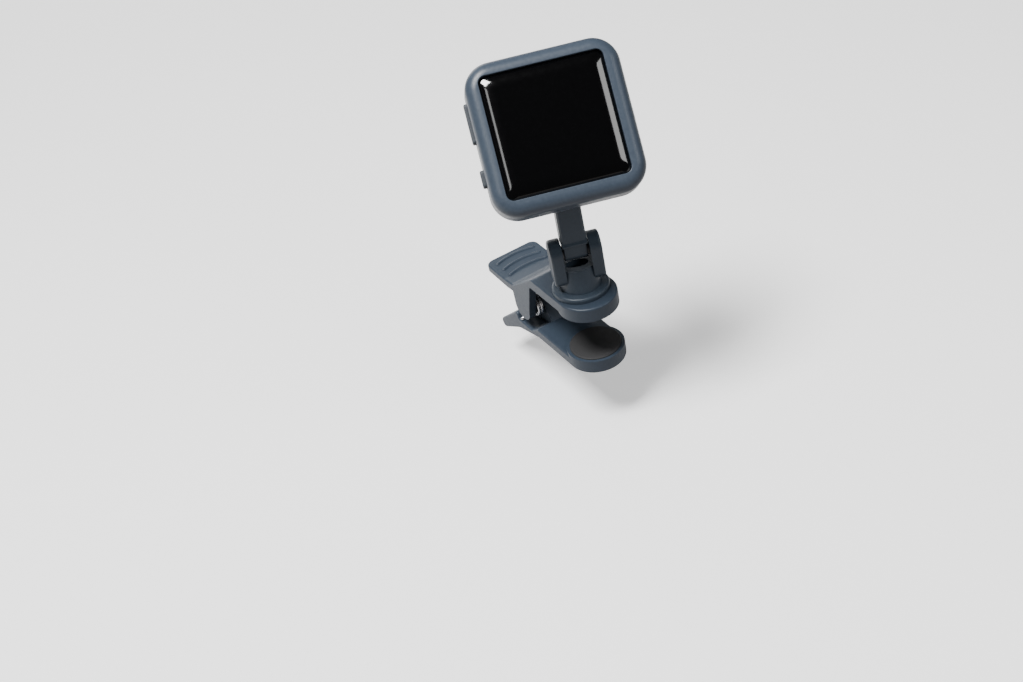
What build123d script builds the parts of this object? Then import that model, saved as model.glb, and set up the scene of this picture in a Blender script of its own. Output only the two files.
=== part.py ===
from build123d import *
import os
from math import cos, sin, radians, degrees, atan2, hypot

# Clip-on tuner: a square display head on a folding arm, which stands on a
# turntable on the upper jaw of a sprung clip.  Millimetres.
#
# Row frame: the origin is on the grip face of the upper pad, on the
# turntable's axis.  +Z is that axis, away from what is gripped.  +X runs
# along the clip from the handles to the jaw tips.  Y is the clip's hinge.

# ---------------------------------------------------------------- clip
CLIP_W = 14.54            # width of the upper lever
LOWER_W = 14.0            # width of the lower lever
GRIP_GAP = 11.0           # thickness gripped between the pads
JAW_TOP = 4.09            # upper face of the upper jaw
JAW_UNDER = 1.25          # lower face of the upper jaw
FOOT_X = 2.2              # centre of the round jaw ends and of the pads
FOOT_DROP = 0.8           # how far each round foot stands out of its jaw
PAD_R, PAD_T = 6.2, 1.2
PAD_PROUD = 0.45          # pad thickness that stands out of the foot
LOWER_TOP = -12.25        # inner face of the lower jaw
LOWER_T = 2.65
HINGE_X, HINGE_Z = -18.3, -8.4
HINGE_PIN_R = 1.0
LOBE_R = 3.1              # rounded end of each cheek
CHEEK_T = 1.87
BLIND_WALL = 0.7          # skin left over a pin's blind end, on the -Y side
PADDLE_END = -34.8
PADDLE_TOP = -3.3
RIB_FIRST = -32.85        # crown of the rib nearest the handle's end
RIB_PITCH, RIB_R = 3.05, 15.0
RIB_SECTION_R, RIB_H = 0.45, 0.32
RIB_HALF_SPAN = 5.6
RUN = 0.05                # radial clearance of a running fit
GAP = 0.1                 # clearance between flat moving faces

WIRE_R = 0.4
COIL_R = 3.1              # centre line of the spring's coils
COIL_TURNS = 2
COIL_PITCH = 0.88
COIL_INNER_Y = 3.13       # where each coil starts, beside the web
LOOP_X, LOOP_Z = -24.8, -6.1   # the loop that bears on the upper handle
LEG_Z = -13.6             # the legs' feet, on the lower lever's strip
FOOT_Y = 6.7              # end of each foot, bent outward
BARREL_R = 2.3            # lower lever's hinge barrel, inside the coils
WEB_HALF = 2.6            # half width of the web that carries the barrel

# ------------------------------------------------------------- turntable
TURN_R = 6.8
TURN_BOTTOM, TURN_TOP = 4.19, 5.4
CONE_R = 4.9
SADDLE_Z = 11.0
SADDLE_X, SADDLE_Y = 3.5, 4.3
HOLLOW_X, HOLLOW_Y = 1.5, 2.8   # oval hollow in the saddle, under the arm
HOLLOW_Z = 9.2
SPIGOT_R, SPIGOT_END = 2.6, 2.45
COUNTERBORE_R, COUNTERBORE_TOP = 3.7, 2.5
SWIVEL_DEG = -21.0        # turn of the stand from +X

# ------------------------------------------------------------------ arm
EAR_IN, EAR_OUT = 3.2, 6.05
EAR_R, EAR_RISE = 3.2, 3.8
EAR_BOTTOM = 7.2
TILT_Z = 14.7
PIVOT_R = 0.8
KNUCKLE_R = 2.0
TOP_KNUCKLE_R = 2.2
ARM_HALF = 2.95
ARM_FRONT, ARM_BACK = 2.35, 2.1
LEDGE, LIP = 2.5, 2.75     # height and reach of the lip above the lower knuckle
TONGUE_HALF = 2.7
WASHER_R = 1.7
WASHER_PLAY = 0.05

# ----------------------------------------------------------------- head
HEAD_W = 34.8
HEAD_D = 9.4
HEAD_CORNER = 6.2
FRONT_R, BACK_R = 2.8, 1.6
WALL = 1.4
SPLIT_Z = -7.5            # joint between the two housings
CAVITY_TOP = -2.5
HEAD_ELEVATION = 40.0     # how far the display faces upward
HEAD_X, HEAD_Z = 1.09, 48.32
LENS_W, LENS_CORNER = 27.84, 1.65
WINDOW_X, WINDOW_Y = -0.18, 0.3   # the window's middle; the bezel is deeper below it
LENS_BACK, LENS_FRONT = -1.2, 0.15
LEDGE_Z = -1.3
WINDOW_W = 24.6
TAPE_IN, TAPE_OUT = 24.8, 27.4
DISPLAY_W, DISPLAY_H = 25.2, 21.0
DISPLAY_BACK = -3.4
BOARD_W = 29.4
BOARD_TOP, BOARD_BACK = -4.15, -4.95
POST_XY, POST_R = 13.0, 2.0
SCREW_R, SCREW_HEAD_R = 0.65, 1.6
LUG_X = -0.68             # the arm's middle, beside the head's
LUG_Y, LUG_Z, LUG_R = -11.4, -12.4, 2.5
LUG_OUT = 5.3

BATTERY_Y = 3.2
BATTERY_R = 10.0
BATTERY_FRONT, BATTERY_BACK = -5.1, -8.3
DOOR_R, DOOR_SEAT = 11.9, -8.45
SKIRT_IN, SKIRT_OUT, SKIRT_END = 10.3, 10.8, -6.85
BAYONET_R = 11.6
PIEZO_Y = -11.3

BUTTON_Z, BUTTON_H = -5.75, 2.0
FLANGE_OUT, FLANGE_IN = 15.9, 15.4
STEM_END = 14.55
SWITCH_BACK, SWITCH_FRONT = 12.0, 14.9
# name: side of the head, place along that side, length, height above the side
BUTTONS = {
    "mode_button": (-1, 5.6, 9.2, 0.75),
    "pitch_button": (-1, -6.85, 4.0, 0.85),
    "power_button": (1, -0.6, 3.4, 0.4),
}


def block(width, height, low, high, x=0.0, y=0.0, corner=0.0):
    """A block between two heights, with rounded upright edges if asked."""
    plan = RectangleRounded(width, height, corner) if corner else Rectangle(width, height)
    return Pos(x, y, low) * extrude(plan, high - low)


def disc(radius, low, high, x=0.0, y=0.0):
    return Pos(x, y, (low + high) / 2) * Cylinder(radius, high - low)


def ring(outer, inner, low, high, x=0.0, y=0.0):
    return disc(outer, low, high, x, y) - disc(inner, low, high, x, y)


def cross_bar(radius, half_length, x=0.0, z=0.0, y=0.0):
    """A cylinder along Y."""
    return Pos(x, y, z) * Rot(X=90) * Cylinder(radius, 2 * half_length)


def side_profile(points, radii, y_low, y_high):
    """An XZ outline with rounded corners, extruded from y_low to y_high."""
    corners = [(x, 0, z) for x, z in points]
    face = make_face(FilletPolyline(*corners, radius=radii, close=True))
    middle = (y_low + y_high) / 2
    return Pos(0, middle, 0) * extrude(face, (y_high - y_low) / 2, dir=(0, 1, 0), both=True)


def both_sides(shape):
    """The shape and its mirror image across the XZ plane."""
    return [shape, mirror(shape, Plane.XZ)]


def bar_between(radius, y_low, y_high, x, z):
    """A cylinder along Y from y_low to y_high."""
    return cross_bar(radius, (y_high - y_low) / 2, x, z, (y_low + y_high) / 2)


def end_edges(shape, direction):
    """Edges of the outermost face along a direction such as Axis.Z."""
    return shape.faces().sort_by(direction)[-1].edges()


# ================================================================= clip

def lever_plan(half_width, end_x, corner):
    """Plan of a lever: a round jaw end and a squarer handle end."""
    length = FOOT_X - end_x
    handle = block(length, 2 * half_width, -40, 20, x=end_x + length / 2)
    rear = handle.edges().filter_by(Axis.Z).group_by(Axis.X)[0]
    return fillet(rear, corner) + disc(half_width, -40, 20, FOOT_X)


def rim(shape, height):
    """Edges of the jaw's flat face, forward of the shoulder."""
    return [e for e in shape.edges() if abs(e.center().Z - height) < 0.01 and e.center().X > -9.0]


def grip_ribs():
    """Three raised arcs across the handle, crowns towards its end."""
    half_angle = degrees(atan2(RIB_HALF_SPAN, RIB_R))
    depth = PADDLE_TOP + RIB_H - RIB_SECTION_R
    ribs = []
    for index in range(3):
        middle = RIB_FIRST + RIB_PITCH * index + RIB_R
        path = CenterArc((middle, 0, depth), RIB_R, 180 - half_angle, 2 * half_angle)
        section = Plane(origin=path @ 0, z_dir=path % 0) * Circle(RIB_SECTION_R)
        ribs.append(sweep(section, path))
        ribs += [Pos(*(path @ end)) * Sphere(RIB_SECTION_R) for end in (0, 1)]
    return ribs


def make_upper_jaw():
    """Upper lever: jaw, shoulder, dished handle, foot and hinge cheeks."""
    half = CLIP_W / 2
    profile = [
        (14.0, JAW_TOP), (-11.2, JAW_TOP), (-21.4, -2.9), (-25.5, PADDLE_TOP),
        (-38.0, PADDLE_TOP), (-38.0, PADDLE_TOP - 1.5), (-24.5, -5.2), (-20.6, -4.9),
        (-11.9, JAW_UNDER), (14.0, JAW_UNDER),
    ]
    lever = side_profile(profile, [0, 3.0, 3.0, 3.0, 0, 0, 4.0, 1.0, 1.0, 0], -half, half)
    lever = lever & lever_plan(half, PADDLE_END, 2.0)
    lever = fillet(rim(lever, JAW_TOP), 0.45)
    foot = disc(half, JAW_UNDER - FOOT_DROP, JAW_UNDER + 0.5, FOOT_X)
    cheek = [
        (-12.2, 1.6), (HINGE_X + LOBE_R, HINGE_Z), (HINGE_X + LOBE_R, HINGE_Z - LOBE_R),
        (HINGE_X - LOBE_R, HINGE_Z - LOBE_R), (-21.9, -4.8), (-20.5, -4.2), (-13.2, 1.0),
    ]
    rounding = [0, 0, LOBE_R - 0.02, LOBE_R - 0.02, 0, 0, 0]
    cheeks = both_sides(side_profile(cheek, rounding, -half, CHEEK_T - half))
    jaw = lever + foot + cheeks + grip_ribs()
    jaw -= disc(PAD_R, -1, PAD_T, FOOT_X)
    jaw -= disc(COUNTERBORE_R, 0, COUNTERBORE_TOP)
    jaw -= disc(SPIGOT_R + RUN, 0, JAW_TOP + 1)
    jaw -= bar_between(HINGE_PIN_R, BLIND_WALL - half, 10, HINGE_X, HINGE_Z)
    return jaw


def make_lower_jaw():
    """Lower lever: jaw, foot, bowed strip, web and barrel, and handle."""
    half = LOWER_W / 2
    under = LOWER_TOP - LOWER_T
    profile = [
        (14.0, LOWER_TOP), (-13.2, LOWER_TOP), (-16.2, -14.2), (-22.25, -14.2), (-22.9, -12.0),
        (-32.9, -19.8), (-31.4, -21.8), (-23.0, -17.3), (-13.0, under), (14.0, under),
    ]
    lever = side_profile(profile, [0, 1.5, 1.5, 0.6, 0.8, 1.2, 1.2, 8.0, 5.0, 0], -half, half)
    lever = lever & lever_plan(half, -36.0, 1.0)
    lever = fillet(rim(lever, under), 0.45)
    foot = disc(half, LOWER_TOP - 0.5, -GRIP_GAP - PAD_PROUD, FOOT_X)
    web = [
        (-12.6, LOWER_TOP - 0.8), (HINGE_X + BARREL_R, HINGE_Z), (HINGE_X - BARREL_R, HINGE_Z),
        (-22.6, -13.0), (-22.6, -15.5), (-14.0, -14.6),
    ]
    jaw = lever + foot + side_profile(web, [0] * 6, -WEB_HALF, WEB_HALF)
    barrel_half = CLIP_W / 2 - CHEEK_T - 2 * GAP
    jaw += cross_bar(BARREL_R, barrel_half, HINGE_X, HINGE_Z)
    jaw -= disc(PAD_R, -GRIP_GAP - PAD_T, 0, FOOT_X)
    jaw -= cross_bar(HINGE_PIN_R + RUN, CLIP_W, HINGE_X, HINGE_Z)
    return jaw


def make_torsion_spring():
    """One wire: leg, coil round the barrel, loop, second coil and leg."""
    rear_x = HINGE_X - COIL_R
    inner_y, outer_y = COIL_INNER_Y, COIL_INNER_Y + COIL_TURNS * COIL_PITCH
    loop = FilletPolyline(
        (LOOP_X, 0, LOOP_Z), (LOOP_X, inner_y, LOOP_Z),
        (rear_x, inner_y, LOOP_Z), (rear_x, inner_y, HINGE_Z), radius=0.7)
    coil = Helix(COIL_PITCH, COIL_TURNS * COIL_PITCH, COIL_R, lefthand=True)
    coil = Pos(HINGE_X, inner_y, HINGE_Z) * Rot(Y=180) * Rot(X=-90) * coil
    leg = FilletPolyline(
        (rear_x, outer_y, HINGE_Z), (rear_x, outer_y, LEG_Z), (rear_x, FOOT_Y, LEG_Z), radius=0.7)
    wire = Wire([*loop.edges(), *coil.edges(), *leg.edges()])
    section = Plane(origin=wire @ 0, z_dir=wire % 0) * Circle(WIRE_R)
    half = sweep(section, wire, transition=Transition.TRANSFORMED)
    return half + mirror(half, Plane.XZ)


def make_pad(low, high, grip_is_low):
    """A rubber disc with its grip edge bevelled."""
    pad = disc(PAD_R, low, high, FOOT_X)
    face = pad.faces().sort_by(Axis.Z)[0 if grip_is_low else -1]
    return chamfer(face.edges(), 0.25)


def clip_parts():
    pin_start, pin_end = BLIND_WALL + 0.05 - CLIP_W / 2, CLIP_W / 2 - 0.25
    return {
        "upper_jaw": make_upper_jaw(),
        "lower_jaw": make_lower_jaw(),
        "upper_pad": make_pad(0, PAD_T, True),
        "lower_pad": make_pad(-GRIP_GAP - PAD_T, -GRIP_GAP, False),
        "hinge_pin": bar_between(HINGE_PIN_R, pin_start, pin_end, HINGE_X, HINGE_Z),
        "torsion_spring": make_torsion_spring(),
    }


# ================================================================ stand
# Stand frame: the row frame turned by SWIVEL_DEG, X towards the display.

def make_yoke():
    """Turntable disc, waisted neck, saddle and the two pivot ears."""
    flange = disc(TURN_R, TURN_BOTTOM, TURN_TOP)
    flange = fillet(end_edges(flange, Axis.Z), 0.6)
    foot = Pos(0, 0, TURN_TOP) * Circle(CONE_R)
    head = Pos(0, 0, SADDLE_Z) * Ellipse(SADDLE_X, SADDLE_Y)
    neck = loft([foot, head])
    neck -= Pos(0, 0, HOLLOW_Z) * extrude(Ellipse(HOLLOW_X, HOLLOW_Y), SADDLE_Z)
    outline = [
        (EAR_R, EAR_BOTTOM), (EAR_R, TILT_Z + EAR_RISE),
        (-EAR_R, TILT_Z + EAR_RISE), (-EAR_R, EAR_BOTTOM),
    ]
    ear = side_profile(outline, [1.6, EAR_R - 0.01, EAR_R - 0.01, 1.6], EAR_IN, EAR_OUT)
    ear = fillet(end_edges(ear, Axis.Y), 0.6)
    yoke = flange + neck + both_sides(ear) + disc(SPIGOT_R, SPIGOT_END, TURN_BOTTOM + 0.2)
    yoke -= bar_between(PIVOT_R, BLIND_WALL - EAR_OUT, 10, 0, TILT_Z)
    yoke -= disc(0.75, 0, 8.0)
    return yoke


def make_swivel_screw():
    """Pan-head screw up into the neck, with a cross recess."""
    head = disc(2.0, 1.35, 2.15)
    head = fillet(head.faces().sort_by(Axis.Z)[0].edges(), 0.3)
    recess = block(2.2, 0.5, 1.0, 1.75) + block(0.5, 2.2, 1.0, 1.75)
    return head + disc(0.75, 2.1, 8.0) - recess


def stand_parts():
    pin_start, pin_end = BLIND_WALL + 0.05 - EAR_OUT, EAR_OUT - 0.1
    return {
        "yoke": make_yoke(),
        "swivel_washer": ring(3.5, 0.8, 2.15, SPIGOT_END),
        "swivel_screw": make_swivel_screw(),
        "tilt_pin": bar_between(PIVOT_R, pin_start, pin_end, 0, TILT_Z),
    }


# Arm frame: origin on the tilt pivot, Z towards the head's pivot.
HEAD_DIR = radians(HEAD_ELEVATION)
TOP_X = HEAD_X - LUG_Y * sin(HEAD_DIR) + LUG_Z * cos(HEAD_DIR)
TOP_Z = HEAD_Z + LUG_Y * cos(HEAD_DIR) + LUG_Z * sin(HEAD_DIR)
ARM_LENGTH = hypot(TOP_X, TOP_Z - TILT_Z)
ARM_LEAN = degrees(atan2(TOP_X, TOP_Z - TILT_Z))


def make_arm():
    """Link with a round knuckle at each end and a lip above the lower one."""
    profile = [
        (KNUCKLE_R, -KNUCKLE_R), (KNUCKLE_R, LEDGE), (LIP, LEDGE), (LIP, LEDGE + 0.35),
        (ARM_FRONT, LEDGE + 0.85), (ARM_FRONT, ARM_LENGTH - 3.6), (TOP_KNUCKLE_R, ARM_LENGTH - 1.6),
        (TOP_KNUCKLE_R, ARM_LENGTH + TOP_KNUCKLE_R),
        (-TOP_KNUCKLE_R, ARM_LENGTH + TOP_KNUCKLE_R),
        (-TOP_KNUCKLE_R, ARM_LENGTH - 2.0), (-ARM_BACK, ARM_LENGTH - 4.0),
        (-ARM_BACK, LEDGE + 0.5), (-KNUCKLE_R, LEDGE - 0.5), (-KNUCKLE_R, -KNUCKLE_R),
    ]
    end, top = KNUCKLE_R - 0.01, TOP_KNUCKLE_R - 0.01
    radii = [end, 0, 0.1, 0.15, 0, 2, 1, top, top, 1, 2, 0, 0, end]
    arm = side_profile(profile, radii, -ARM_HALF, ARM_HALF)
    long_edges = [
        e for e in arm.edges().filter_by(Axis.Z)
        if e.center().X > ARM_FRONT - 0.01 and e.length > 5 and abs(e.center().Y) > 1
    ]
    arm = chamfer(long_edges, 0.4)
    arm -= both_sides(block(12, 1, -5, LEDGE, y=TONGUE_HALF + 0.5))
    for height in (0, ARM_LENGTH):
        arm -= cross_bar(PIVOT_R + RUN, 10, 0, height)
    return arm


def washer_pair(height, inner):
    """The two washers at one end of the arm, between it and the ears."""
    outer = EAR_IN - WASHER_PLAY
    washer = cross_bar(WASHER_R, (outer - inner) / 2, 0, height, (outer + inner) / 2)
    washer -= cross_bar(PIVOT_R + RUN, 10, 0, height)
    return both_sides(washer)


def arm_parts():
    return {
        "arm": make_arm(),
        "tilt_washers": washer_pair(0, TONGUE_HALF),
        "head_washers": washer_pair(ARM_LENGTH, ARM_HALF),
    }


# ================================================================= head
# Head frame: X to the right and Y up seen from the front, Z out of the
# display.  The origin is the middle of the bezel's front plane.

def at_corners(shape):
    """Four copies, at the housing's screw posts."""
    return [Pos(x, y, 0) * shape for x in (-POST_XY, POST_XY) for y in (-POST_XY, POST_XY)]


def outer_shell():
    """The whole head's outside: soft front edge, tighter back edge."""
    shell = block(HEAD_W, HEAD_W, -HEAD_D, 0, corner=HEAD_CORNER)
    shell = fillet(end_edges(shell, Axis.Z), FRONT_R)
    return fillet(shell.faces().sort_by(Axis.Z)[0].edges(), BACK_R)


def button_body(side, place, length, proud, grow=0.0):
    """A side button's outer block, grown all round for its slot."""
    outer = HEAD_W / 2 + proud
    bar = Box(outer - FLANGE_IN, length + 2 * grow, BUTTON_H + 2 * grow)
    bar = fillet(bar.edges().filter_by(Axis.X), 0.7)
    return Pos(side * (outer + FLANGE_IN) / 2, place, BUTTON_Z) * bar


def make_button(side, place, length, proud):
    """Button with a rounded outer face, a retaining flange and a stem."""
    body = button_body(side, place, length, proud)
    face = body.faces().sort_by(Axis.X)[-1 if side > 0 else 0]
    body = fillet(face.edges(), 0.35)
    middle = side * (FLANGE_OUT + FLANGE_IN) / 2
    flange = Pos(middle, place, BUTTON_Z) * Box(FLANGE_OUT - FLANGE_IN, length + 1.0, BUTTON_H + 0.5)
    reach = FLANGE_IN - STEM_END + 0.1
    stem = Pos(side * (STEM_END + reach / 2), place, BUTTON_Z) * Rot(Y=90) * Cylinder(0.4, reach)
    return body + flange + stem


def make_front_housing():
    """Bezel and side walls, with lens pocket, posts and button slots."""
    front = outer_shell() & block(50, 50, SPLIT_Z, 5)
    cavity = HEAD_W - 2 * WALL
    front -= block(cavity, cavity, SPLIT_Z, CAVITY_TOP, corner=HEAD_CORNER - WALL)
    pocket = LENS_W + 0.1
    front -= block(pocket, pocket, LEDGE_Z, 1, WINDOW_X, WINDOW_Y, LENS_CORNER + 0.05)
    mouth = [
        e for e in front.edges()
        if abs(e.center().Z) < 0.01
        and abs(e.center().X - WINDOW_X) < pocket / 2 + 0.01
        and abs(e.center().Y - WINDOW_Y) < pocket / 2 + 0.01
    ]
    front = fillet(mouth, 0.15)
    front -= block(WINDOW_W, WINDOW_W, -5, 1, WINDOW_X, WINDOW_Y, 1.2)
    front = front + at_corners(disc(POST_R, SPLIT_Z, CAVITY_TOP + 0.1))
    front -= at_corners(disc(SCREW_R, SPLIT_Z, CAVITY_TOP - 1.0))
    for button in BUTTONS.values():
        front -= button_body(*button, grow=0.1)
    return front


def make_rear_cover():
    """Back plate with battery opening, screw seats, tongues and lugs."""
    cover = outer_shell() & block(50, 50, -20, SPLIT_Z)
    outline = [
        (LUG_R, -8.6), (LUG_R, LUG_Z - LUG_R), (-LUG_R, LUG_Z - LUG_R), (-LUG_R, -8.6),
    ]
    lug = side_profile(outline, [0, LUG_R - 0.01, LUG_R - 0.01, 0], EAR_IN, LUG_OUT)
    lugs = [Pos(LUG_X, LUG_Y, 0) * Rot(Z=-90) * half for half in both_sides(lug)]
    inside = HEAD_W / 2 - WALL - 0.15
    tongues = [block(12, 0.8, SPLIT_Z - 0.1, SPLIT_Z + 0.8, y=s * (inside - 0.4)) for s in (-1, 1)]
    cover = cover + lugs + tongues
    cover -= disc(DOOR_R + GAP, -20, DOOR_SEAT + 0.05, y=BATTERY_Y)
    cover -= disc(SKIRT_OUT + GAP, -20, 0, y=BATTERY_Y)
    notch = Pos(0, BATTERY_Y, -8) * Rot(Z=40) * Box(30, 4.0, 3)
    cover -= notch & disc(BAYONET_R + GAP, -10, 0, y=BATTERY_Y)
    cover -= at_corners(disc(SCREW_HEAD_R + GAP, -20, -8.4) + disc(0.8, -20, 0))
    cover -= Pos(0, LUG_Y, LUG_Z) * Rot(Y=90) * Cylinder(PIVOT_R, 20)
    return cover


def make_battery_door():
    """Coin-slotted door with a skirt and two bayonet lugs."""
    door = disc(DOOR_R, -HEAD_D, DOOR_SEAT)
    door = chamfer(door.faces().sort_by(Axis.Z)[0].edges(), 0.25)
    door += ring(SKIRT_OUT, SKIRT_IN, DOOR_SEAT - 0.1, SKIRT_END)
    door += ring(BAYONET_R, SKIRT_IN, -7.4, SKIRT_END) & Box(30, 3.6, 30)
    door -= block(9.0, 1.6, -10, -HEAD_D + 0.5, corner=0.79)
    return Pos(0, BATTERY_Y, 0) * door


def make_battery():
    """Coin cell: a rounded can and its smaller negative cap."""
    can = disc(BATTERY_R, BATTERY_BACK, BATTERY_FRONT - 0.35)
    can = fillet(can.edges(), 0.25)
    cap = fillet(end_edges(disc(8.9, BATTERY_BACK, BATTERY_FRONT), Axis.Z), 0.3)
    return Pos(0, BATTERY_Y, 0) * (can + cap)


def make_circuit_board():
    board = block(BOARD_W, BOARD_W, BOARD_BACK, BOARD_TOP, corner=2.0)
    board -= at_corners(disc(POST_R + 0.3, -6, -3))
    for x in (-1, 1):
        for y in (-1, 1):
            board -= block(4, 4, -6, -3, x * (POST_XY + 2), y * (POST_XY + 2))
    return board


def make_switch(side, place):
    """Side-push switch with a recess for the button's stem."""
    middle = (SWITCH_FRONT + SWITCH_BACK) / 2
    body = block(SWITCH_FRONT - SWITCH_BACK, 4.6, -6.6, BOARD_BACK, middle)
    body -= Pos(SWITCH_FRONT, 0, BUTTON_Z) * Rot(Y=90) * Cylinder(0.5, 1.5)
    return Pos(0, place, 0) * Rot(Z=0 if side > 0 else 180) * body


def make_negative_contact():
    """Thin leaf on the board, under the cell's cap."""
    leaf = block(12.0, 3.0, BATTERY_FRONT, BOARD_BACK, y=BATTERY_Y, corner=0.8)
    return leaf + disc(2.6, BATTERY_FRONT, BOARD_BACK, y=BATTERY_Y)


def make_positive_contact():
    """Curved strip that wraps part of the cell's rim."""
    strip = ring(10.3, 10.05, -6.6, BOARD_BACK) & Pos(0, -10, -6) * Box(9, 8, 6)
    return Pos(0, BATTERY_Y, 0) * strip


def make_housing_screw():
    head = disc(SCREW_HEAD_R, -9.3, -8.4)
    head = chamfer(head.faces().sort_by(Axis.Z)[0].edges(), 0.2)
    recess = block(1.8, 0.4, -10, -8.9) + block(0.4, 1.8, -10, -8.9)
    return head + disc(SCREW_R, -8.5, -3.6) - recess


def head_parts():
    lens = block(LENS_W, LENS_W, LENS_BACK, LENS_FRONT, corner=LENS_CORNER)
    lens = fillet(end_edges(lens, Axis.Z), 0.9)
    tape = block(TAPE_OUT, TAPE_OUT, LEDGE_Z, LENS_BACK, corner=1.5)
    tape -= block(TAPE_IN, TAPE_IN, LEDGE_Z, LENS_BACK, corner=1.0)
    backlight = block(DISPLAY_W - 0.6, DISPLAY_H - 0.6, BOARD_TOP, DISPLAY_BACK, corner=0.5)
    window = Pos(WINDOW_X, WINDOW_Y, 0)
    parts = {
        "front_housing": make_front_housing(),
        "screen_lens": window * lens,
        "lens_tape": window * tape,
        "display_glass": window * block(DISPLAY_W, DISPLAY_H, DISPLAY_BACK, CAVITY_TOP),
        "backlight": window * backlight,
        "circuit_board": make_circuit_board(),
        "tuner_chip": block(6, 6, BOARD_BACK - 0.8, BOARD_BACK, y=-10.8),
        "button_switches": [make_switch(*button[:2]) for button in BUTTONS.values()],
        "battery": make_battery(),
        "negative_contact": make_negative_contact(),
        "positive_contact": make_positive_contact(),
        "piezo_disc": disc(3.4, SPLIT_Z, SPLIT_Z + 0.4, y=PIEZO_Y),
        "rear_cover": make_rear_cover(),
        "battery_door": make_battery_door(),
        "housing_screws": at_corners(make_housing_screw()),
        "head_pin": Pos(LUG_X, LUG_Y, LUG_Z) * Rot(Y=90) * Cylinder(PIVOT_R, 2 * LUG_OUT - 0.2),
    }
    for name, button in BUTTONS.items():
        parts[name] = make_button(*button)
    return parts


# ============================================================= assembly

STAND = Rot(Z=SWIVEL_DEG)
ARM = STAND * Pos(0, 0, TILT_Z) * Rot(Y=ARM_LEAN)
FACING = Vector(cos(HEAD_DIR), 0, sin(HEAD_DIR))
HEAD = STAND * Plane(origin=(HEAD_X, -LUG_X, HEAD_Z), x_dir=(0, 1, 0), z_dir=FACING).location
GROUPS = (
    (Location(), clip_parts()),
    (STAND, stand_parts()),
    (ARM, arm_parts()),
    (HEAD, head_parts()),
)

os.makedirs("parts", exist_ok=True)
for frame, parts in GROUPS:
    for name, shape in parts.items():
        solids = shape if isinstance(shape, list) else [shape]
        moved = [frame * solid for solid in solids]
        export_step(moved[0] if len(moved) == 1 else Compound(children=moved), f"parts/{name}.step")
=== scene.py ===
import math

import bpy
from mathutils import Matrix, Vector


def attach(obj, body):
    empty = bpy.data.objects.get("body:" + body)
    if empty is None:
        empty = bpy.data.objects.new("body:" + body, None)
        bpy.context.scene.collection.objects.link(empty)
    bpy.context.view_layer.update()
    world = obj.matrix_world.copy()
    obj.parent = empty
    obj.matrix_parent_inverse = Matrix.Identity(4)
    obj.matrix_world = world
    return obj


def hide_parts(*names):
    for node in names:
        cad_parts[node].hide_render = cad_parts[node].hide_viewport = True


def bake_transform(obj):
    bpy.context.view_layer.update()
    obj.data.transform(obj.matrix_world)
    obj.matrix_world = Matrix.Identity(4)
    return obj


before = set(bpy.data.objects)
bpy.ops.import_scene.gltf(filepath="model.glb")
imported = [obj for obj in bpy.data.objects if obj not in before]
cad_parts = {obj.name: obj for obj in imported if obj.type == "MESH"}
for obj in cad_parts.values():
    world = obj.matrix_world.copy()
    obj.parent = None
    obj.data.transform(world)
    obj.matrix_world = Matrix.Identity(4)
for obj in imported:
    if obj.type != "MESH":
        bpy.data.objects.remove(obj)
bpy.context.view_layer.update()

MM = 0.001
WHITE = (1.0, 1.0, 1.0, 1.0)

# The display head's frame: x right, y up and z out of the display.
TURN = Matrix.Rotation(math.radians(-21.0), 4, "Z")   # the turntable's angle
LIFT = math.radians(40.0)                             # how far the display faces up
HEAD = TURN @ Matrix((
    (0.0, -math.sin(LIFT), math.cos(LIFT), 0.00109),
    (1.0, 0.0, 0.0, 0.00068),
    (0.0, math.cos(LIFT), math.sin(LIFT), 0.04832),
    (0.0, 0.0, 0.0, 1.0),
))

# The window's middle in that frame.
WINDOW = Matrix.Translation((-0.00018, 0.0003, 0.0))


# ---------------------------------------------------------------- materials

GRAIN_DEPTH = 0.00002     # metres
FINER = 6.0               # grain cells in each cell of the colour


def new_material(name):
    mat = bpy.data.materials.new(name)
    mat.use_nodes = True
    tree = mat.node_tree
    tree.nodes.clear()
    out = tree.nodes.new("ShaderNodeOutputMaterial")
    shader = tree.nodes.new("ShaderNodeBsdfPrincipled")
    tree.links.new(shader.outputs["BSDF"], out.inputs["Surface"])
    return mat, tree, shader


def grain(tree, scale, detail=3.0):
    """Noise in object space: scale is in cells per metre."""
    coord = tree.nodes.new("ShaderNodeTexCoord")
    noise = tree.nodes.new("ShaderNodeTexNoise")
    noise.inputs["Scale"].default_value = scale
    noise.inputs["Detail"].default_value = detail
    tree.links.new(coord.outputs["Object"], noise.inputs["Vector"])
    return noise


def span(tree, source, low, high):
    """Maps a noise value onto the range low to high."""
    node = tree.nodes.new("ShaderNodeMapRange")
    node.inputs["From Min"].default_value = 0.3
    node.inputs["From Max"].default_value = 0.7
    node.inputs["To Min"].default_value = low
    node.inputs["To Max"].default_value = high
    tree.links.new(source, node.inputs["Value"])
    return node.outputs["Result"]


def two_tone(tree, source, dark, light):
    """Blends two colours by a noise value."""
    mix = tree.nodes.new("ShaderNodeMix")
    mix.data_type = "RGBA"
    mix.inputs[6].default_value = (*dark, 1.0)
    mix.inputs[7].default_value = (*light, 1.0)
    tree.links.new(span(tree, source, 0.0, 1.0), mix.inputs[0])
    return mix.outputs[2]


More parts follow.
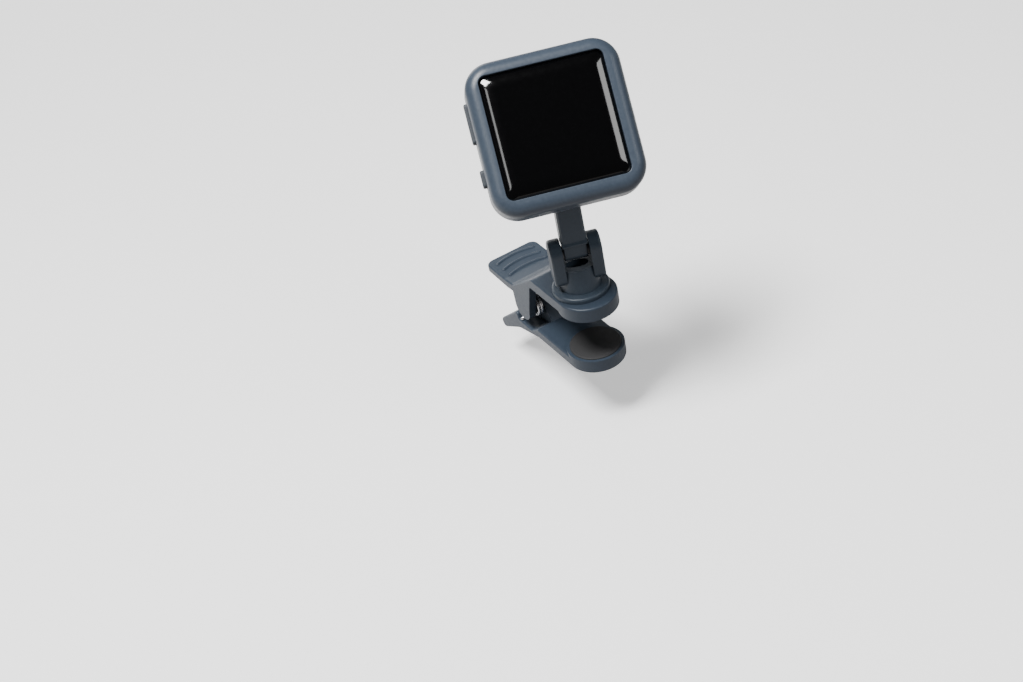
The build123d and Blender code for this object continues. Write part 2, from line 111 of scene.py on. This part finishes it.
def surface(name, color, rough, metal=0.0, vary=0.06, rough_vary=0.05, bump=0.0,
            scale=900.0, specular=0.5, stretch=None):
    """A solid finish with slight colour and gloss variation and a fine grain."""
    mat, tree, shader = new_material(name)
    noise = grain(tree, scale)
    if stretch:
        mapping = tree.nodes.new("ShaderNodeMapping")
        mapping.inputs["Scale"].default_value = stretch
        source = noise.inputs["Vector"].links[0].from_socket
        tree.links.new(source, mapping.inputs["Vector"])
        tree.links.new(mapping.outputs["Vector"], noise.inputs["Vector"])
    dark = [c * (1.0 - vary) for c in color]
    light = [c * (1.0 + vary) for c in color]
    tone = two_tone(tree, noise.outputs["Fac"], dark, light)
    tree.links.new(tone, shader.inputs["Base Color"])
    low, high = max(rough - rough_vary, 0.02), min(rough + rough_vary, 1.0)
    tree.links.new(span(tree, noise.outputs["Fac"], low, high), shader.inputs["Roughness"])
    shader.inputs["Metallic"].default_value = metal
    shader.inputs["Specular IOR Level"].default_value = specular
    if bump:
        fine = grain(tree, scale * FINER, 2.0)
        node = tree.nodes.new("ShaderNodeBump")
        node.inputs["Strength"].default_value = bump
        node.inputs["Distance"].default_value = GRAIN_DEPTH
        tree.links.new(fine.outputs["Fac"], node.inputs["Height"])
        tree.links.new(node.outputs["Normal"], shader.inputs["Normal"])
    return mat


def plastic(name, color, rough, bump, scale=1500.0):
    """The slate plastic of the outside, in one of its shades; the stand's shade is painted
    light.
    """
    return surface(name, color, rough, bump=bump, scale=scale, specular=0.35)


MATS = {
    "shell": plastic("slate_plastic", (0.036, 0.048, 0.066), 0.37, 0.25),
    "clip": plastic("clip_plastic", (0.026, 0.037, 0.053), 0.42, 0.3),
    # The yoke and arm are the clip's plastic; this slightly lighter copy of it is painted
    # light.
    "stand": plastic("stand_plastic_painted_light", (0.030, 0.042, 0.057), 0.40, 0.3),
    "button": plastic("button_plastic", (0.040, 0.046, 0.054), 0.45, 0.2, 1800.0),
    "lens": surface("lens_black", (0.0006, 0.0006, 0.0008), 0.10, vary=0.1,
                    rough_vary=0.01, specular=0.8),
    "tape": surface("tape_black", (0.01, 0.01, 0.01), 0.8),
    "display": surface("display_glass", (0.02, 0.024, 0.024), 0.08, rough_vary=0.02),
    "diffuser": surface("diffuser_white", (0.75, 0.77, 0.78), 0.45),
    "board": surface("solder_mask", (0.012, 0.10, 0.04), 0.35, vary=0.2, scale=3000.0),
    "chip": surface("chip_black", (0.018, 0.018, 0.02), 0.55, bump=0.3, scale=4000.0),
    "cell": surface("nickel_plate", (0.66, 0.66, 0.65), 0.28, metal=1.0, stretch=(1, 1, 14)),
    "brass": surface("brass_strip", (0.72, 0.50, 0.20), 0.30, metal=1.0),
    "rubber": surface("pad_rubber", (0.018, 0.018, 0.019), 0.78, bump=0.6, scale=1200.0),
    "steel": surface("steel", (0.56, 0.57, 0.59), 0.26, metal=1.0, scale=2500.0),
    "nylon": surface("washer_nylon", (0.05, 0.05, 0.055), 0.5),
}
FINISH = {
    "front_housing": "shell", "rear_cover": "shell", "battery_door": "shell",
    "upper_jaw": "clip", "lower_jaw": "clip", "yoke": "stand", "arm": "stand",
    "mode_button": "button", "pitch_button": "button", "power_button": "button",
    "screen_lens": "lens", "lens_tape": "tape", "display_glass": "display",
    "backlight": "diffuser", "circuit_board": "board", "tuner_chip": "chip",
    "button_switches": "chip", "battery": "cell", "negative_contact": "brass",
    "positive_contact": "brass", "piezo_disc": "brass",
    "upper_pad": "rubber", "lower_pad": "rubber",
    "hinge_pin": "steel", "torsion_spring": "steel", "swivel_screw": "steel",
    "tilt_pin": "steel", "head_pin": "steel", "housing_screws": "steel",
    "swivel_washer": "nylon", "tilt_washers": "nylon", "head_washers": "nylon",
}
for name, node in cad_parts.items():
    node.data.materials.clear()
    node.data.materials.append(MATS[FINISH[name]])


# ------------------------------------------------------------------- meshes

def make_mesh(name, points, faces, material, matrix=None):
    """A smooth mesh from points in millimetres, placed by a matrix in metres."""
    data = bpy.data.meshes.new(name)
    data.from_pydata([tuple(c * MM for c in p) for p in points], [], faces)
    data.materials.append(MATS[material])
    if matrix is not None:
        data.transform(matrix)
    data.polygons.foreach_set("use_smooth", [True] * len(data.polygons))
    data.update()
    obj = bpy.data.objects.new(name, data)
    bpy.context.scene.collection.objects.link(obj)
    return obj


def skin(rings):
    """Points and faces that join equal rings in order and close both ends."""
    count = len(rings[0])
    points = [p for ring in rings for p in ring]
    faces = []
    for r in range(len(rings) - 1):
        a, b = r * count, (r + 1) * count
        for i in range(count):
            j = (i + 1) % count
            faces.append((a + i, a + j, b + j, b + i))
    faces.append(tuple(range(count - 1, -1, -1)))
    last = (len(rings) - 1) * count
    faces.append(tuple(range(last, last + count)))
    return points, faces


def rounded_square(half, radius, z, per_corner=12):
    """A closed ring of points round a square with rounded corners."""
    ring = []
    flat = half - radius
    corners = ((flat, flat), (-flat, flat), (-flat, -flat), (flat, -flat))
    for quarter, (cx, cy) in enumerate(corners):
        for step in range(per_corner + 1):
            angle = math.radians(90.0 * quarter + 90.0 * step / per_corner)
            ring.append((cx + radius * math.cos(angle), cy + radius * math.sin(angle), z))
    return ring


# Lens: a flat window whose rim curves down to the bezel.
LENS_HALF, LENS_CORNER = 13.92, 1.65
LENS_BACK, LENS_FRONT = -1.2, 0.15
RIM, DROP, BEND = 3.5, 1.0, 2.4   # rim width, its fall, and how late it bends
RIM_STEPS = 24
rings = [rounded_square(LENS_HALF, LENS_CORNER, LENS_BACK)]
for step in range(RIM_STEPS + 1):
    inset = RIM * step / RIM_STEPS
    fall = DROP * (1.0 - step / RIM_STEPS) ** BEND
    rings.append(rounded_square(LENS_HALF - inset, LENS_CORNER, LENS_FRONT - fall))
points, faces = skin(rings)
lens = make_mesh("lens_curved", points, faces, "lens", HEAD @ WINDOW)
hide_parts("screen_lens")
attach(lens, "head")


# Spring: one wire with two coils, as in the clip.
HINGE_X, HINGE_Z, COIL_R = -18.3, -8.4, 3.1
WIRE_R = 0.4
INNER_Y, PITCH, TURNS = 3.13, 0.88, 2
LOOP_X, LOOP_Z, LEG_Z, FOOT_Y = -24.8, -6.1, -13.6, 6.7
REAR_X = HINGE_X - COIL_R
COIL_STEPS = 48           # points in each turn


def bend(before, corner, after, radius=0.7, steps=6):
    """Points round a corner of a bent wire."""
    b, c, a = Vector(before), Vector(corner), Vector(after)
    into, out = (b - c).normalized(), (a - c).normalized()
    angle = into.angle(out)
    back = radius / math.tan(angle / 2)
    p, q = c + into * back, c + out * back
    centre = c + (into + out).normalized() * (radius / math.sin(angle / 2))
    found = []
    for step in range(steps + 1):
        t = step / steps
        found.append(centre + (p - centre).slerp(q - centre, t))
    return found


def half_wire():
    """Centre line from the loop's middle to the end of one leg."""
    outer_y = INNER_Y + PITCH * TURNS
    line = [Vector((LOOP_X, 0.0, LOOP_Z))]
    line += bend((LOOP_X, 0, LOOP_Z), (LOOP_X, INNER_Y, LOOP_Z), (REAR_X, INNER_Y, LOOP_Z))
    line += bend((LOOP_X, INNER_Y, LOOP_Z), (REAR_X, INNER_Y, LOOP_Z),
                 (REAR_X, INNER_Y, HINGE_Z))
    for step in range(TURNS * COIL_STEPS + 1):
        turn = 2.0 * math.pi * step / COIL_STEPS
        line.append(Vector((
            HINGE_X - COIL_R * math.cos(turn),
            INNER_Y + PITCH * step / COIL_STEPS,
            HINGE_Z - COIL_R * math.sin(turn),
        )))
    line += bend((REAR_X, outer_y, HINGE_Z), (REAR_X, outer_y, LEG_Z), (REAR_X, FOOT_Y, LEG_Z))
    line.append(Vector((REAR_X, FOOT_Y, LEG_Z)))
    return line


def tube(line, radius, around=14):
    """Rings of points along a centre line, carried without twist."""
    rings = []
    side = None
    for i, p in enumerate(line):
        ahead = line[min(i + 1, len(line) - 1)] - line[max(i - 1, 0)]
        ahead.normalize()
        if side is None:
            side = ahead.orthogonal().normalized()
        side = (side - ahead * side.dot(ahead)).normalized()
        up = ahead.cross(side)
        rings.append([
            tuple(p + side * radius * math.cos(a) + up * radius * math.sin(a))
            for a in (2.0 * math.pi * k / around for k in range(around))
        ])
    return rings


side_line = half_wire()
mirrored = [Vector((p.x, -p.y, p.z)) for p in reversed(side_line[1:])]
points, faces = skin(tube(mirrored + side_line, WIRE_R))
spring = make_mesh("spring_wire", points, faces, "steel")
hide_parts("torsion_spring")
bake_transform(spring)


# ------------------------------------------------------- floor, light, camera

def area_light(name, place, target, width, height, power, up=Vector((0.0, 0.0, 1.0))):
    """A rectangular lamp; its height runs as nearly as it can along up."""
    data = bpy.data.lights.new(name, "AREA")
    data.shape = "RECTANGLE"
    data.size, data.size_y = width, height
    data.energy = power
    lamp = bpy.data.objects.new(name, data)
    bpy.context.scene.collection.objects.link(lamp)
    away = (place - target).normalized()
    across = up.cross(away).normalized()
    turned = Matrix((across, away.cross(across), away)).transposed()
    lamp.matrix_world = Matrix.Translation(place) @ turned.to_4x4()
    return lamp


# Camera: its own right, up and back directions, and its place in metres.
RIGHT = Vector((0.516711, 0.839556, -0.167793))
UP = Vector((-0.454077, 0.434879, 0.777621))
BACK = Vector((0.725826, -0.325615, 0.605930))
STANDS_AT = Vector((0.274619, -0.143441, 0.228548))
cam_data = bpy.data.cameras.new("camera")
cam_data.lens = 57.85
cam_data.sensor_width = 36.0
cam_data.clip_start = 0.01
cam = bpy.data.objects.new("camera", cam_data)
bpy.context.scene.collection.objects.link(cam)
turned = Matrix((RIGHT, UP, BACK)).transposed()
cam.matrix_world = Matrix.Translation(STANDS_AT) @ turned.to_4x4()
bpy.context.scene.camera = cam

MIDDLE = Vector((0.0, 0.0, 0.03))   # roughly the part's middle


def seen_from(right, up, back):
    """A point given in metres along the camera's own directions."""
    return MIDDLE + RIGHT * right + UP * up + BACK * back


def before_display(right, up, out):
    """A point given in metres along the display's own directions."""
    return HEAD @ Vector((right, up, out))


DISPLAY = before_display(0.0, 0.0, 0.0)
DISPLAY_UP = HEAD.to_3x3() @ Vector((0.0, 1.0, 0.0))
area_light("key_left", before_display(-0.22, 0.39, 0.46), MIDDLE, 0.22, 0.26, 11.0)
# These two make the bright lines in the window's rim.
area_light("softbox_right", before_display(0.40, 0.09, 0.38), DISPLAY,
           0.25, 0.15, 0.62, DISPLAY_UP)
area_light("strip_left", before_display(-0.33, 0.09, 0.46), DISPLAY,
           0.09, 0.16, 0.20, DISPLAY_UP)
fill = area_light("fill_right", before_display(0.32, -0.12, 0.50), MIDDLE, 0.22, 0.22, 1.2)
fill.visible_glossy = False   # it must not show in the window's rim
area_light("top_back", seen_from(-0.30, 0.45, -0.45), MIDDLE, 0.40, 0.40, 1.8)

DIM_SKY, PALE_SKY = 0.045, 0.9
world = bpy.data.worlds.new("studio")
world.use_nodes = True
sky = world.node_tree.nodes["Background"]
sky.inputs["Color"].default_value = WHITE
# Beyond the floor's edge the camera sees it pale; as a light it is dim.
looked = world.node_tree.nodes.new("ShaderNodeLightPath")
level = world.node_tree.nodes.new("ShaderNodeMapRange")
level.inputs["To Min"].default_value = DIM_SKY
level.inputs["To Max"].default_value = PALE_SKY
world.node_tree.links.new(looked.outputs["Is Camera Ray"], level.inputs["Value"])
world.node_tree.links.new(level.outputs["Result"], sky.inputs["Strength"])
bpy.context.scene.world = world

FLOOR_Z = -0.030
DIM_X, PALE_X = 0.045, -0.120   # between these its light grows from dim to pale
bpy.ops.mesh.primitive_plane_add(size=6.0, location=(0.0, 0.0, FLOOR_Z))
floor = bpy.context.object
floor.name = "floor"
floor_mat, floor_tree, floor_shader = new_material("floor_white")
floor_shader.inputs["Base Color"].default_value = (0.85, 0.85, 0.85, 1.0)
floor_shader.inputs["Emission Color"].default_value = WHITE
floor_shader.inputs["Emission Strength"].default_value = 0.45
floor_shader.inputs["Roughness"].default_value = 0.9
# The floor is pale to the camera.  To the part it is dark in front, as the
# gripped headstock would be, and pale behind.
seen = floor_tree.nodes.new("ShaderNodeLightPath")
spot = floor_tree.nodes.new("ShaderNodeNewGeometry")
split = floor_tree.nodes.new("ShaderNodeSeparateXYZ")
ramp = floor_tree.nodes.new("ShaderNodeMapRange")
ramp.inputs["From Min"].default_value = DIM_X
ramp.inputs["From Max"].default_value = PALE_X
ramp.inputs["To Min"].default_value = 0.0
ramp.inputs["To Max"].default_value = 1.0
either = floor_tree.nodes.new("ShaderNodeMath")
either.operation = "MAXIMUM"
dim = floor_tree.nodes.new("ShaderNodeBsdfDiffuse")
dim.inputs["Color"].default_value = (0.27, 0.25, 0.24, 1.0)
choice = floor_tree.nodes.new("ShaderNodeMixShader")
floor_out = floor_tree.nodes["Material Output"]
floor_tree.links.new(spot.outputs["Position"], split.inputs["Vector"])
floor_tree.links.new(split.outputs["X"], ramp.inputs["Value"])
floor_tree.links.new(seen.outputs["Is Camera Ray"], either.inputs[0])
floor_tree.links.new(ramp.outputs["Result"], either.inputs[1])
floor_tree.links.new(either.outputs["Value"], choice.inputs[0])
floor_tree.links.new(dim.outputs["BSDF"], choice.inputs[1])
floor_tree.links.new(floor_shader.outputs["BSDF"], choice.inputs[2])
floor_tree.links.new(choice.outputs["Shader"], floor_out.inputs["Surface"])
floor.data.materials.append(floor_mat)
